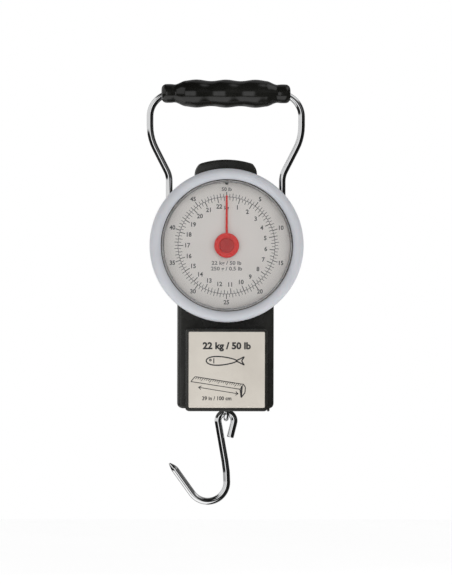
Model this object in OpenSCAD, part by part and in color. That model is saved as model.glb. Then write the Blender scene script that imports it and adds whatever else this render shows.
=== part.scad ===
// Hanging spring scale with a round dial, a folding wire handle, a load hook and a
// pull-out tape measure. Millimetres. X is to the right, Y to the back, Z up.
// The origin is the middle of the grip, in the plane of the handle wire.

/* [Handle] */
// Diameter of the handle wire
handle_wire_d = 4; // [3:0.1:4.2]
// Length of the grip
grip_length = 77.4; // [70:0.2:78]
// Radius of the grip at the top of a finger swell
grip_crest_r = 8.45; // [7.8:0.05:8.6]
// Radius of the grip in a finger groove
grip_valley_r = 7.55; // [6.8:0.05:7.7]
// Distance from one finger swell to the next
finger_pitch = 17.7; // [16.5:0.1:18]

/* [Housing] */
// Height of the grip's axis above the middle of the dial
dial_drop = 91.3; // [90.5:0.1:93]
// Width of the housing
housing_w = 57.4; // [56.6:0.2:58.2]
// Bottom of the housing below the middle of the dial
housing_bottom = 97.6; // [97:0.1:98]
// Top of the housing above the middle of the dial
housing_top = 51.6; // [50.8:0.1:52]
// Width of the rounded top of the housing
crown_w = 37; // [36:0.5:40]
// Thickness of the housing's walls
wall = 1.8; // [1.5:0.1:1.9]

/* [Dial] */
// Outer radius of the dial ring
ring_r = 46; // [45.8:0.1:47]
// Radius of the ring's inner edge, where the dial shows
window_r = 39.3; // [38:0.1:39.5]
// Radius of the pointer's hub
hub_r = 7.45; // [5:0.05:9]
// Length of the pointer from its centre
needle_length = 30.1; // [22:0.1:36]

/* [Movement] */
// Travel of the hook at full load
load_travel = 22; // [18:1:22]
// Module of the rack and pinion
gear_module = 0.5; // [0.5:0.1:0.5]
// Number of teeth of the pinion
pinion_teeth = 14; // [14:1:14]
// Wire diameter of the main springs
spring_wire_d = 1.6; // [1.2:0.1:1.6]
// Mean diameter of the main springs
spring_mean_d = 8; // [7:0.1:8]

/* [Hook] */
// Diameter of the hook's wire
hook_wire_d = 4.2; // [3.6:0.1:4.2]
// Radius of the hook's bend, to the middle of the wire
hook_bend_r = 11.47; // [9:0.01:12]
// Radius of the hook's eye, to the middle of the wire
hook_eye_r = 4.8; // [4.7:0.05:4.9]
// Diameter of the load rod
rod_d = 3; // [2.6:0.1:3]

/* [Tape measure] */
// Width of the tape case
case_w = 48.8; // [48.4:0.1:49.4]
// Height of the tape case
case_h = 49.3; // [49:0.1:49.6]
// Width of the tape blade
tape_w = 6; // [5:0.1:6]
// Thickness of the tape blade
tape_t = 0.4; // [0.2:0.05:0.4]

/* [Hidden] */
$fn = 96;

gap = 0.02;                // radial clearance of a fixed fit
run = 0.05;                // radial clearance of a running fit

// Depths are distances in front of the handle wire's plane, so the back of the scale is negative.
back = -9;                 // flat back of the housing
split = 3;                 // joint between the two housing shells
plate_in = 6;              // inside of the front shell's plate
plate_out = 8;             // outside of the front shell's plate
chassis_front = -5.4;      // front of the chassis plate
chassis_back = -6.6;       // back of the chassis plate, on the rear shell
drum_front = 10.4;         // front edge of the dial drum
drum_groove = 9.3;         // front of the groove that the ring snaps into
ring_back = 8.3;           // back edge of the dial ring, just in front of the plate
ring_crown = 20;           // highest line of the dial ring
dial_back = 11;            // back of the dial plate
dial_front = 11.8;         // face of the dial plate
glass_in = 16.5;           // inside of the lens
glass_out = 18;            // outside of the lens
case_front = 18.4;         // front of the tape case
case_split = 12;           // joint between the two halves of the tape case

inner_w = housing_w - 2 * wall;
pivot_z = 14;              // handle pivots above the middle of the dial
leg_x = 33.94;             // handle leg beside the housing
leg_bend_r = 4;
flange_x = inner_w / 2 - 0.6; // outside of the chassis flanges
clip_x = flange_x - 2.7;   // handle clip from the middle
drum_r = ring_r - 1.5;
drum_neck_r = drum_r - 0.9;
ring_round = (ring_r - window_r) / 2;
glass_r = window_r + 1.6;

pitch_r = gear_module * pinion_teeth / 2;
tooth_pitch = PI * gear_module;
rack_back_x = pitch_r + 4;
rack_front = 4.1;          // front face of the rack
rack_rear = 2.5;           // back face of the rack, on the yoke
rack_top = load_travel + 4;
rack_foot = -21;

spring_x = 14;
anchor_z = 36;
yoke_top = -14;
yoke_bottom = -22;
load_x = 0.5;              // load line, a little right of the middle
rod_eye_r = 3.9;
rod_eye_z = -100;          // centre of the load rod's eye
hook_pivot_z = rod_eye_z - rod_eye_r;
hook_eye_z = hook_pivot_z + rod_d / 2 + run + hook_wire_d / 2 - hook_eye_r;

case_x = case_w / 2;
case_bottom = -99.2;
case_wall = 1.2;
spool_z = -77;
spool_drum_r = 16;
wound_r = 19.6;
spool_flange_r = 20.6;
tape_back = 10.2;
tape_front = tape_back + tape_w;
tape_z = spool_z - wound_r;
exit_z = tape_z - tape_t / 2;

screw_x = inner_w / 2 - 2.8; // the bosses grow out of the side walls
housing_screw_places = [[0, 46], [-screw_x, -40], [screw_x, -40], [-13, -91.5], [13, -91.5]];
chassis_screw_places = [[-22, -24], [22, -24], [-22, 24], [22, 24]];
case_screw_places = [[-21.5, -53.5], [21.5, -53.5], [-21.5, -92], [21.5, -92]];
post_places = [[-6.5, -10], [-6.5, 10]];
guide_pin_places = [[8.3, -8], [8.3, 8]];

// ---- Helpers ----

// Extrudes a flat drawing in x and height from one depth to another, about the dial's middle.
module slab(from, to) {
    translate([0, -from, -dial_drop]) rotate([90, 0, 0]) linear_extrude(to - from) children();
}

// Turns a drawing of radius and depth about the dial's axis, moved to another height and side.
module turned(x = 0, z = 0) {
    translate([x, 0, z - dial_drop]) rotate([90, 0, 0]) rotate_extrude() children();
}

// A round pin along the dial's axis.
module pin(x, z, r, from, to) {
    slab(from, to) translate([x, z]) circle(r);
}

// A rectangle with round corners, from its lower left corner.
module round_rect(x, y, w, h, r) {
    translate([x + r, y]) square([w - 2 * r, h]);
    translate([x, y + r]) square([w, h - 2 * r]);
    for (cx = [x + r, x + w - r], cy = [y + r, y + h - r]) translate([cx, cy]) circle(r);
}

// Bends a round wire out of straights and bends by turns. [length, 0] is a straight, and
// [angle, radius] a bend towards +X, or away from it when the angle is negative. It starts at
// the origin, heading along +Z. A straight is a hair thinner and laps into its bends, so that
// they join into one solid.
lap = 0.15;
slim = 0.01;

module bent_wire(steps, d, i = 0) {
    if (i < len(steps)) {
        size = steps[i][0];
        r = steps[i][1];
        if (r == 0) {
            before = i == 0 ? 0 : lap;
            after = i == len(steps) - 1 ? 0 : lap;
            translate([0, 0, -before]) cylinder(h = before + size + after, r = d / 2 - slim);
            translate([0, 0, size]) bent_wire(steps, d, i + 1);
        } else {
            turn = abs(size);
            side = sign(size);
            translate([side * r, 0, 0]) rotate([90, 0, 0]) rotate([0, 0, side > 0 ? 180 - turn : 0])
                rotate_extrude(angle = turn) translate([r, 0]) circle(d = d);
            translate([side * r * (1 - cos(turn)), 0, r * sin(turn)]) rotate([0, size, 0])
                bent_wire(steps, d, i + 1);
        }
    }
}

// ---- Handle ----

leg_out = 13.8;            // bend beside the grip
leg_lean = 27;             // lean of the leg towards the housing
lean_r = 30;
knee_r = 14;
bend_x = leg_x + lean_r * (1 - cos(leg_lean)) + knee_r * (1 - cos(leg_lean)) + 15 * sin(leg_lean) - leg_out;
leg_end_z = -leg_out - 5.5 - (lean_r + knee_r) * sin(leg_lean) - 15 * cos(leg_lean);
wire_end_x = clip_x - 1.3;
leg_steps = [[90, leg_out], [5.5, 0], [leg_lean, lean_r], [15, 0], [-leg_lean, knee_r],
    [dial_drop + leg_end_z - pivot_z - leg_bend_r, 0], [90, leg_bend_r],
    [leg_x - leg_bend_r - wire_end_x, 0]];
handle_steps = concat([for (i = [len(leg_steps) - 1:-1:0]) leg_steps[i]], [[2 * bend_x, 0]], leg_steps);

module handle_shape(d) {
    translate([-wire_end_x, 0, pivot_z - dial_drop]) rotate([0, -90, 0]) bent_wire(handle_steps, d);
}

module handle_wire() {
    color("silver") handle_shape(handle_wire_d);
}

function grip_r(x) = grip_valley_r + (grip_crest_r - grip_valley_r) * (1 + cos(360 * x / finger_pitch)) / 2;
grip_neck_r = 5.4;
grip_bead_r = 5.65;
grip_neck_x = 31;
grip_fall_x = 1.35 * finger_pitch;
grip_half = grip_length / 2;

// Outline of half of the grip: swells, a smooth fall to the neck, a bead and a round end.
grip_outline = concat(
    [for (x = [0:1.18:grip_fall_x]) [grip_r(x), x]],
    [for (k = [1:6]) let (t = k / 6, s = t * t * (3 - 2 * t))
        [grip_r(grip_fall_x) * (1 - s) + grip_neck_r * s, grip_fall_x + (grip_neck_x - grip_fall_x) * t]],
    [[grip_bead_r, grip_neck_x + 2.6], [grip_bead_r, grip_half - 3]],
    [for (a = [30:30:60]) [grip_bead_r - 3 + 3 * cos(a), grip_half - 3 + 3 * sin(a)]],
    [[grip_bead_r - 3, grip_half], [0, grip_half], [0, 0]]);

module grip_half_shell(side) {
    color([0.1, 0.1, 0.1]) difference() {
        for (end = [0, 1]) mirror([end, 0, 0]) rotate([0, 90, 0]) rotate_extrude() polygon(grip_outline);
        handle_shape(handle_wire_d + 2 * gap);
        translate([-grip_length, side > 0 ? -20 : 0, -15]) cube([2 * grip_length, 20, 30]);
    }
}

module grip_front() { grip_half_shell(-1); }
module grip_rear() { grip_half_shell(1); }

// Push-on clips that keep the handle wire's ends in the chassis.
module handle_clips() {
    color("dimgray") for (side = [-1, 1]) translate([side * (clip_x + 0.5), 0, pivot_z - dial_drop])
        rotate([0, 90, 0]) difference() {
            cylinder(h = 1, r = 3.6, center = true);
            cylinder(h = 2, r = handle_wire_d / 2 + gap, center = true);
        }
}

// ---- Housing ----

module housing_outline(inset = 0) {
    w = housing_w - 2 * inset;
    cw = crown_w - 2 * inset;
    round_rect(-w / 2, inset - housing_bottom, w, housing_bottom + 34 - 2 * inset, 3 - inset / 2);
    intersection() {
        circle(housing_top - inset);
        round_rect(-cw / 2, 0, cw, housing_top - inset, 9 - inset);
    }
}

module rod_slot() {
    slab(-6.2, 6.2) translate([load_x - 1.9, -housing_bottom - 1]) square([3.8, 5]);
}

module pivot_holes() {
    translate([0, 0, pivot_z - dial_drop]) rotate([0, 90, 0])
        cylinder(h = housing_w + 2, r = handle_wire_d / 2 + 0.3, center = true);
}

module rear_housing() {
    color([0.12, 0.12, 0.12]) difference() {
        union() {
            difference() {
                slab(back, split) housing_outline();
                slab(chassis_back, split + 1) housing_outline(wall);
            }
            for (p = housing_screw_places) pin(p[0], p[1], 3, chassis_back - 0.5, split);
        }
        for (p = housing_screw_places) {
            pin(p[0], p[1], 1.6, back - 1, split + 1);
            pin(p[0], p[1], 3.0 - 0.1, back - 1, back + 2.1);
        }
        for (p = chassis_screw_places) pin(p[0], p[1], 1 + gap, chassis_back - 1.9, chassis_back + 1);
        pivot_holes();
        rod_slot();
    }
}

module front_housing() {
    color([0.12, 0.12, 0.12]) difference() {
        union() {
            difference() {
                slab(split, plate_out) housing_outline();
                slab(split - 1, plate_in) housing_outline(wall);
            }
            turned() polygon([[0, plate_in], [drum_neck_r - 1.8, plate_in], [drum_neck_r - 1.8, split + 0.2],
                [drum_r, split + 0.2], [drum_r, plate_out], [drum_neck_r, plate_out],
                [drum_neck_r, drum_groove], [drum_r, drum_groove], [drum_r, drum_front],
                [drum_r - 2.2, drum_front], [drum_r - 2.2, plate_out], [0, plate_out]]);
            for (p = housing_screw_places) pin(p[0], p[1], 2.6, split, plate_in + 0.5);
        }
        slab(split - 1, plate_in) difference() {
            housing_outline(wall);
            for (p = housing_screw_places) translate(p) circle(2.6);
        }
        for (p = housing_screw_places) pin(p[0], p[1], 1.2 + gap, split - 1, plate_in);
        for (p = case_screw_places) pin(p[0], p[1], 1.25, plate_in - 1, plate_out + 1);
        pin(0, 0, 2.6, plate_in - 1, plate_out + 1);
        rod_slot();
    }
}

// Bent steel channel that carries the handle wire, the springs and the movement.
module chassis() {
    color("lightsteelblue") difference() {
        union() {
            slab(chassis_back, chassis_front) {
                translate([-flange_x, -30]) square([2 * flange_x, 56]);
                translate([-13, 20]) square([26, 19.5]);
            }
            for (side = [0, 1]) mirror([side, 0, 0]) {
                slab(chassis_back, 4) translate([flange_x - 1.2, 4]) square([1.2, 20]);
                slab(chassis_back, 2.6) translate([10, anchor_z - 3]) square([1.2, 6]);
            }
        }
        translate([0, 0, pivot_z - dial_drop]) rotate([0, 90, 0])
            cylinder(h = housing_w, r = handle_wire_d / 2 + run, center = true);
        translate([0, 0, anchor_z - dial_drop]) rotate([0, 90, 0])
            cylinder(h = 30, r = 1.5 + gap, center = true);
        for (p = chassis_screw_places) pin(p[0], p[1], 1.15, chassis_back - 1, chassis_front + 1);
        for (p = post_places) pin(p[0], p[1], 0.8 + gap, chassis_back - 1, chassis_front + 1);
        for (p = guide_pin_places) pin(p[0], p[1], 0.5 + gap, chassis_back - 1, chassis_front + 1);
        pin(0, 0, 2 + gap, chassis_back - 1, chassis_front + 1);
    }
}

// A small pan-head screw that points to the back.
module rear_screw(p, r, head_r, head_from, head_to, tip) {
    difference() {
        union() {
            pin(p[0], p[1], r, tip, head_from);
            pin(p[0], p[1], head_r, head_from, head_to);
        }
        slab(head_to - 0.5, head_to + 1) translate(p) for (a = [0, 90])
            rotate(a) square([head_r * 1.3, 0.5], center = true);
    }
}

module chassis_screws() {
    color("gray") for (p = chassis_screw_places)
        rear_screw(p, 1, 1.9, chassis_front, chassis_front + 1.2, chassis_back - 1.6);
}

module housing_screws() {
    color("dimgray") for (p = housing_screw_places) difference() {
        union() {
            pin(p[0], p[1], 1.2, back + 2, plate_in - 0.4);
            pin(p[0], p[1], 2.6, back + 0.4, back + 2.1);
        }
        slab(back, back + 1.3) translate(p) for (a = [0, 90]) rotate(a) square([3.2, 0.6], center = true);
    }
}

module spring_anchor_rod() {
    color("silver") translate([0, 0, anchor_z - dial_drop]) rotate([0, 90, 0]) difference() {
        cylinder(h = 32, r = 1.5, center = true);
        for (side = [-1, 1]) translate([0, 0, side * spring_x]) rotate_extrude()
            translate([1.7, 0]) circle(0.45);
    }
}

// Close-wound tension spring with a loop at each end.
module main_spring(x) {
    coil_top = 31;
    coils = 26;
    loop_r = 2.5;
    wire_r = spring_wire_d / 2;
    coil_pitch = (coil_top + 9.5 - spring_wire_d) / (coils - 1);
    loop_z = [anchor_z, yoke_top];
    color("silver") translate([x, 0, -dial_drop]) {
        rotate_extrude() for (k = [0:coils - 1])
            translate([spring_mean_d / 2, coil_top - wire_r - k * coil_pitch]) circle(wire_r, $fn = 24);
        for (k = [0, 1]) {
            end_z = k == 0 ? coil_top - wire_r : -9.5 + wire_r;
            side = k == 0 ? -1 : 1;
            translate([0, 0, loop_z[k]]) rotate([0, 90, 0]) rotate_extrude()
                translate([loop_r, 0]) circle(wire_r, $fn = 32);
            translate([0, 0, min(end_z, loop_z[k] + side * loop_r)])
                cylinder(h = abs(loop_z[k] + side * loop_r - end_z), r = wire_r, $fn = 32);
            translate([0, 0, end_z]) rotate([90, 0, 0])
                cylinder(h = spring_mean_d, r = wire_r * 0.97, center = true, $fn = 32);
        }
    }
}

module main_spring_left() { main_spring(-spring_x); }
module main_spring_right() { main_spring(spring_x); }

module movement_bridge() {
    color("gold") difference() {
        slab(4.9, 5.9) round_rect(-9, -12.5, 18.2, 25, 2);
        for (p = post_places) pin(p[0], p[1], 0.8 + gap, 4, 7);
        for (p = guide_pin_places) pin(p[0], p[1], 0.5 + gap, 4, 7);
        pin(0, 0, 1.6 + gap, 4, 7);
    }
}

module spacer_posts() {
    color("gold") for (p = post_places) {
        pin(p[0], p[1], 1.5, chassis_front, 4.9);
        pin(p[0], p[1], 0.8, chassis_back, 5.9);
    }
}

module rack_guide_pins() {
    color("silver") for (p = guide_pin_places) {
        pin(p[0], p[1], 0.65, chassis_front, 4.9);
        pin(p[0], p[1], 0.5, chassis_back, 5.9);
    }
}

module rear_arbor_bush() {
    color("goldenrod") turned() polygon([[1 + run, chassis_back], [2, chassis_back], [2, chassis_front],
        [2.8, chassis_front], [2.8, chassis_front + 0.6], [1 + run, chassis_front + 0.6]]);
}

module front_arbor_bush() {
    color("goldenrod") turned() polygon([[1 + run, 4.5], [2.3, 4.5], [2.3, 4.9], [1.6, 4.9], [1.6, 6.3],
        [1 + run, 6.3]]);
}

module rod_guide() {
    color("ivory") difference() {
        slab(chassis_back, plate_in) round_rect(load_x - 5.5, -93, 11, 4, 1);
        translate([load_x, 0, -93.5 - dial_drop]) cylinder(h = 5, r = rod_d / 2 + run);
    }
}

// ---- Load train ----

module yoke() {
    color("lightsteelblue") difference() {
        union() {
            slab(-1, 1) round_rect(-19, yoke_bottom, 38, yoke_top - yoke_bottom, 2);
            slab(-3.5, rack_rear) translate([-5, yoke_bottom]) square([13, yoke_top - yoke_bottom]);
        }
        for (side = [-1, 1]) pin(side * spring_x, yoke_top - 2.5, 1.2, -2, 2);
        translate([load_x, 0, yoke_bottom - 1 - dial_drop]) cylinder(h = 6.2, r = rod_d / 2 + gap);
        for (z = [-19.5, -16.5]) pin(5.4, z, 0.7 + gap, -4, 5);
    }
}

module load_rod() {
    color("silver") translate([load_x, 0, -dial_drop]) {
        translate([0, 0, rod_eye_z + rod_eye_r])
            cylinder(h = yoke_bottom + 5 - rod_eye_z - rod_eye_r, d = rod_d);
        translate([0, 0, rod_eye_z]) rotate([0, 90, 0]) rotate_extrude()
            translate([rod_eye_r, 0]) circle(d = rod_d);
    }
}

module lock_nut() {
    color("gray") translate([load_x, 0, yoke_bottom - 2.4 - dial_drop]) difference() {
        cylinder(h = 2.4, r = 3.1, $fn = 6);
        translate([0, 0, -1]) cylinder(h = 5, r = rod_d / 2 + gap);
    }
}

module rack() {
    root_x = pitch_r + 0.1 + 1.15 * gear_module;
    tip_x = pitch_r + 0.1 - 0.95 * gear_module;
    first = ceil(-3 / tooth_pitch);
    last = floor((rack_top - 1) / tooth_pitch);
    color("gold") difference() {
        slab(rack_rear, rack_front) polygon(concat(
            [[rack_back_x, rack_top], [rack_back_x, rack_foot], [tip_x, rack_foot], [tip_x, -12.5],
                [root_x, -12.5]],
            [for (k = [first:last], e = [[0, -0.52], [1, -0.16], [1, 0.16], [0, 0.52]])
                [e[0] > 0 ? tip_x : root_x, (k + 0.5) * tooth_pitch + e[1]]],
            [[root_x, rack_top]]));
        for (z = [-19.5, -16.5]) pin(5.4, z, 0.7 + gap, 1, 5);
    }
}

module rack_rivets() {
    color("silver") for (z = [-19.5, -16.5]) {
        pin(5.4, z, 0.7, -3.5, rack_front);
        pin(5.4, z, 1.2, rack_front, rack_front + 0.6);
        pin(5.4, z, 1.2, -4.0, -3.5);
    }
}

// ---- Pointer ----

module pointer_arbor() {
    color("silver") turned() polygon([[0, chassis_back + 0.1], [1, chassis_back + 0.1], [1, 13.9],
        [0, 13.9]]);
}

module pinion() {
    tip_r = pitch_r + 0.95 * gear_module;
    root_r = pitch_r - 1.2 * gear_module;
    color("gold") slab(rack_rear - 0.3, rack_front + 0.3) difference() {
        union() {
            circle(root_r);
            for (k = [0:pinion_teeth - 1]) rotate(k * 360 / pinion_teeth)
                polygon([[root_r - 0.2, -0.44], [pitch_r, -0.27], [tip_r, -0.12], [tip_r, 0.12],
                    [pitch_r, 0.27], [root_r - 0.2, 0.44]]);
        }
        circle(1 + gap);
    }
}

module pointer_hand() {
    color("red") difference() {
        union() {
            slab(12.8, 13.5) polygon([[-0.7, 0], [-0.5, needle_length], [0.5, needle_length], [0.7, 0]]);
            turned() polygon([[0, 12.5], [2.6, 12.5], [2.6, 12.8], [hub_r, 12.8], [hub_r, 13.9],
                [hub_r - 0.8, 14.6], [0, 14.6]]);
        }
        pin(0, 0, 1 + gap, 12, 14);
        pin(0, 0, 4.35 + gap, 14, 15);
    }
}

module hub_cap() {
    color("firebrick") turned() polygon([[0, 14], [4.35, 14], [4.35, 14.8], [3.6, 15.3], [0, 15.3]]);
}

// ---- Hook ----

hook_lean = 10;            // lean of the shank
hook_open = 144.3;         // turn of the bend
hook_steps = [[9.2, 0], [-14 - 180 - hook_lean, hook_eye_r], [24, 0], [hook_lean, 70], [0.3, 0],
    [hook_open, hook_bend_r], [17.5, 0]];

module hook() {
    end_x = load_x + hook_eye_r * cos(14) - 9.2 * sin(14);
    end_z = hook_eye_z - hook_eye_r * sin(14) - 9.2 * cos(14);
    arm_angle = hook_open - 180;
    bend_x0 = load_x - hook_eye_r * cos(hook_lean) + 24 * sin(hook_lean) + 70 * (1 - cos(hook_lean));
    bend_z0 = hook_eye_z - hook_eye_r * sin(hook_lean) - 24 * cos(hook_lean) - 70 * sin(hook_lean) - 0.3;
    arm_x = bend_x0 - hook_bend_r * (1 - cos(hook_open)) + 17.5 * sin(arm_angle);
    arm_z = bend_z0 - hook_bend_r * sin(hook_open) + 17.5 * cos(arm_angle);
    color("silver") {
        translate([end_x, 0, end_z - dial_drop]) rotate([0, 14, 0]) bent_wire(hook_steps, hook_wire_d);
        translate([arm_x, 0, arm_z - dial_drop]) rotate([0, arm_angle, 0])
            translate([0, 0, -0.1]) cylinder(h = 5.3, r1 = hook_wire_d / 2 - 2 * slim, r2 = 0.5);
    }
}

// ---- Dial ring, lens and dial ----

module dial_ring() {
    crown = ring_crown - ring_round;
    color([0.82, 0.83, 0.86]) turned() {
        polygon([[drum_neck_r + 0.3, ring_back], [ring_r - 0.8, ring_back], [ring_r, ring_back + 0.8],
            [ring_r, crown], [window_r + ring_round, crown + 1], [glass_r + 0.1, crown],
            [glass_r + 0.1, glass_in], [glass_r + 0.1, drum_front + 0.4], [drum_r + run, drum_front + 0.4],
            [drum_r + run, drum_groove - 0.3], [drum_neck_r + 0.3, drum_groove - 0.3]]);
        difference() {
            translate([window_r + ring_round, crown]) circle(ring_round);
            translate([window_r - 1, crown - ring_round - 1])
                square([glass_r + 1.1 - window_r, ring_round + 1 + glass_out - crown]);
            translate([window_r, crown - ring_round - 1]) square([2 * ring_round, ring_round + 1]);
        }
    }
}

module dial_lens() {
    color([0.85, 0.92, 0.95, 0.4]) turned() polygon([[0, glass_in], [glass_r - 1.1, glass_in],
        [glass_r - 1.1, dial_front], [glass_r, dial_front], [glass_r, glass_out], [0, glass_out]]);
}

module dial_plate() {
    color([0.82, 0.8, 0.77]) turned() polygon([[2.6, dial_back], [glass_r, dial_back], [glass_r, dial_front],
        [2.6, dial_front]]);
}

// Half-round mark at twelve o'clock that shows how far the ring is turned.
module dial_key() {
    color("dimgray") slab(dial_front, dial_front + 0.4) translate([0, glass_r - 3.2]) intersection() {
        circle(1);
        translate([-1, -1.2]) square([2, 1.4]);
    }
}

// ---- Tape measure ----

module case_outline(inset = 0) {
    round_rect(inset - case_x, case_bottom + inset, case_w - 2 * inset, case_h - 2 * inset, 2 - inset / 2);
}

module tape_slot() {
    slab(tape_back - 0.3, tape_front + 0.3) translate([case_x - 3, exit_z - 0.6]) square([5, 1.4]);
}

module tape_case_back() {
    color([0.12, 0.12, 0.12]) difference() {
        union() {
            difference() {
                slab(plate_out, case_split) case_outline();
                slab(plate_out + case_wall, case_split + 1) case_outline(case_wall);
            }
            for (p = case_screw_places) pin(p[0], p[1], 2.6, plate_out + 1, case_split);
            pin(0, spool_z, 2.6, plate_out + 1, plate_out + case_wall + 0.2);
        }
        for (p = case_screw_places) pin(p[0], p[1], 1.25, plate_out - 1, case_split + 1);
        pin(0, spool_z, 1.5 + gap, plate_out + 0.4, case_split);
        tape_slot();
    }
}

module tape_case_front() {
    color([0.12, 0.12, 0.12]) difference() {
        union() {
            difference() {
                slab(case_split, case_front) case_outline();
                slab(case_split - 1, case_front - case_wall) case_outline(case_wall);
            }
            for (p = case_screw_places) pin(p[0], p[1], 2.6, case_split, case_front - 1);
        }
        for (p = case_screw_places) pin(p[0], p[1], 1.1 + gap, case_split - 1, 16);
        pin(0, spool_z, 1.5 + gap, case_split, case_front - 0.7);
        slab(case_front - 0.4, case_front + 1) round_rect(-22.9, -97.2, 45.8, 45.6, 0.8);
        tape_slot();
    }
}

module tape_case_screws() {
    color("gray") for (p = case_screw_places) difference() {
        union() {
            pin(p[0], p[1], 1.1, plate_in, 15.8);
            pin(p[0], p[1], 2.1, plate_in - 1.4, plate_in);
        }
        slab(plate_in - 1.5, plate_in - 0.8) translate(p) for (a = [0, 90])
            rotate(a) square([2.6, 0.5], center = true);
    }
}

module tape_axle() {
    color("silver") pin(0, spool_z, 1.5, plate_out + 0.4, case_front - 0.75);
}

module label_plate() {
    color([0.84, 0.82, 0.77]) slab(case_front - 0.4, case_front + 0.15)
        round_rect(-22.8, -97.1, 45.6, 45.4, 0.7);
}

module tape_spool() {
    color("darkslategray") turned(0, spool_z) {
        polygon([[1.5 + run, 9.5], [spool_flange_r, 9.5], [spool_flange_r, 10.1], [spool_drum_r, 10.1],
            [spool_drum_r, 16.3], [spool_flange_r, 16.3], [spool_flange_r, 16.9], [spool_drum_r - 1.5, 16.9],
            [spool_drum_r - 1.5, 10.3], [3, 10.3], [3, 16.5], [1.5 + run, 16.5]]);
    }
}

module wound_tape() {
    color("khaki") turned(0, spool_z) polygon([[spool_drum_r + gap, tape_back], [wound_r, tape_back],
        [wound_r, tape_front], [spool_drum_r + gap, tape_front]]);
}

// Spiral strip that winds the tape back, hooked to the hub and to the drum.
module tape_return_spring() {
    turns = 7;
    r_in = 3.02;
    r_out = spool_drum_r - 1.55;
    strip = 0.35;
    steps = turns * 20;
    function spiral(k, off) =
        let (t = k / steps, r = r_in + (r_out - strip - r_in) * t + off, a = 360 * turns * t)
        [r * cos(a), r * sin(a)];
    color("steelblue") slab(10.6, 16.2) translate([0, spool_z]) polygon(concat(
        [for (k = [0:steps]) spiral(k, 0)], [for (k = [steps:-1:0]) spiral(k, strip)]));
}

module tape_blade() {
    color("khaki") slab(tape_back, tape_front) translate([0, exit_z - tape_t / 2]) square([case_x + 0.15, tape_t]);
}

// Hooked metal end of the tape, outside the case.
module tape_tab() {
    color([0.12, 0.12, 0.12]) {
        slab(tape_back - 0.6, tape_front + 0.6) translate([case_x + 0.15, case_bottom]) square([1.2, 3.8]);
        slab(tape_back, tape_front) translate([case_x + 0.15 - 4.4, exit_z + tape_t / 2 + gap]) square([4.5, 0.35]);
    }
}

module tab_rivets() {
    color("silver") for (f = [tape_back + 1.5, tape_front - 1.5])
        translate([case_x - 2, -f, exit_z - tape_t / 2 - 0.25 - dial_drop]) cylinder(h = 0.25, r = 0.7, $fn = 32);
}

handle_wire();
grip_front();
grip_rear();
handle_clips();
rear_housing();
front_housing();
chassis();
chassis_screws();
spring_anchor_rod();
main_spring_left();
main_spring_right();
movement_bridge();
spacer_posts();
rack_guide_pins();
rear_arbor_bush();
front_arbor_bush();
rod_guide();
housing_screws();
tape_case_back();
tape_case_front();
tape_case_screws();
tape_axle();
label_plate();
yoke();
load_rod();
lock_nut();
rack();
rack_rivets();
pointer_arbor();
pinion();
pointer_hand();
hub_cap();
hook();
dial_ring();
dial_lens();
dial_plate();
dial_key();
tape_blade();
tape_tab();
tab_rivets();
tape_spool();
wound_tape();
tape_return_spring();
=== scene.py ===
import math

import bmesh
import bpy
from mathutils import Matrix, Vector


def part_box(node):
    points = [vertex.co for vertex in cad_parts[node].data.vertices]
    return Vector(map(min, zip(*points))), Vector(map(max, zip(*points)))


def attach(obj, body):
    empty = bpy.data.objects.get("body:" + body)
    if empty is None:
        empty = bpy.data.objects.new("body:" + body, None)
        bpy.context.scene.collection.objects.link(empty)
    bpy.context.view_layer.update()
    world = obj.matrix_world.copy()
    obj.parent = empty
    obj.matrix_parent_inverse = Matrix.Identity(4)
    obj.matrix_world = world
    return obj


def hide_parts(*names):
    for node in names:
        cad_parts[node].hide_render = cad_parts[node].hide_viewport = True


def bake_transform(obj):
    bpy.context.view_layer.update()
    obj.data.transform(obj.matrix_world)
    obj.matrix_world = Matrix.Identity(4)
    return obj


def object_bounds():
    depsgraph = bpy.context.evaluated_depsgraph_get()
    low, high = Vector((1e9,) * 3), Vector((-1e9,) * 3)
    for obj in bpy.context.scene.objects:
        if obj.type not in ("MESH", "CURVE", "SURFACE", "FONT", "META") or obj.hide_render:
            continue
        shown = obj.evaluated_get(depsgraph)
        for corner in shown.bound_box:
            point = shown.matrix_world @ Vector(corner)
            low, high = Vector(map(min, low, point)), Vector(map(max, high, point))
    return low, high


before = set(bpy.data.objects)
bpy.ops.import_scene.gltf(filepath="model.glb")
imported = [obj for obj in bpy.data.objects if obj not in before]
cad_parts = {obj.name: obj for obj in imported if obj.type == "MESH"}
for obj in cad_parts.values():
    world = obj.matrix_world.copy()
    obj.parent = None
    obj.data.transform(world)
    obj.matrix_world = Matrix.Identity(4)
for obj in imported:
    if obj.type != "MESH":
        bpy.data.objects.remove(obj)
CAD_BOX = [list(c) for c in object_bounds()]
MM = 0.001

# ---------------------------------------------------------------- places, from the frame


def low(node):
    return Vector(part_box(node)[0])


def high(node):
    return Vector(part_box(node)[1])


RING_R = (high("dial_ring").x - low("dial_ring").x) / 2
DIAL_Z = (high("dial_ring").z + low("dial_ring").z) / 2
RING_FRONT = -low("dial_ring").y
FACE = -low("dial_plate").y
PLATE_R = high("dial_plate").x
WIRE_R = high("handle_wire").y
HOOK_R = high("hook").y
ROD_R = (high("load_rod").x - low("load_rod").x) / 2
LOAD_X = (high("load_rod").x + low("load_rod").x) / 2
SPLIT = low("rear_housing").y
PLATE_Y = -8 * MM

# ---------------------------------------------------------------- materials


def material(name, color, rough, metal=0.0, **sockets):
    """A Principled material, its node tree and its shader node."""
    mat = bpy.data.materials.new(name)
    mat.use_nodes = True
    shader = mat.node_tree.nodes["Principled BSDF"]
    shader.inputs["Base Color"].default_value = (*color, 1)
    shader.inputs["Roughness"].default_value = rough
    shader.inputs["Metallic"].default_value = metal
    for key, value in sockets.items():
        shader.inputs[key.replace("_", " ")].default_value = value
    return mat, mat.node_tree, shader


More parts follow.
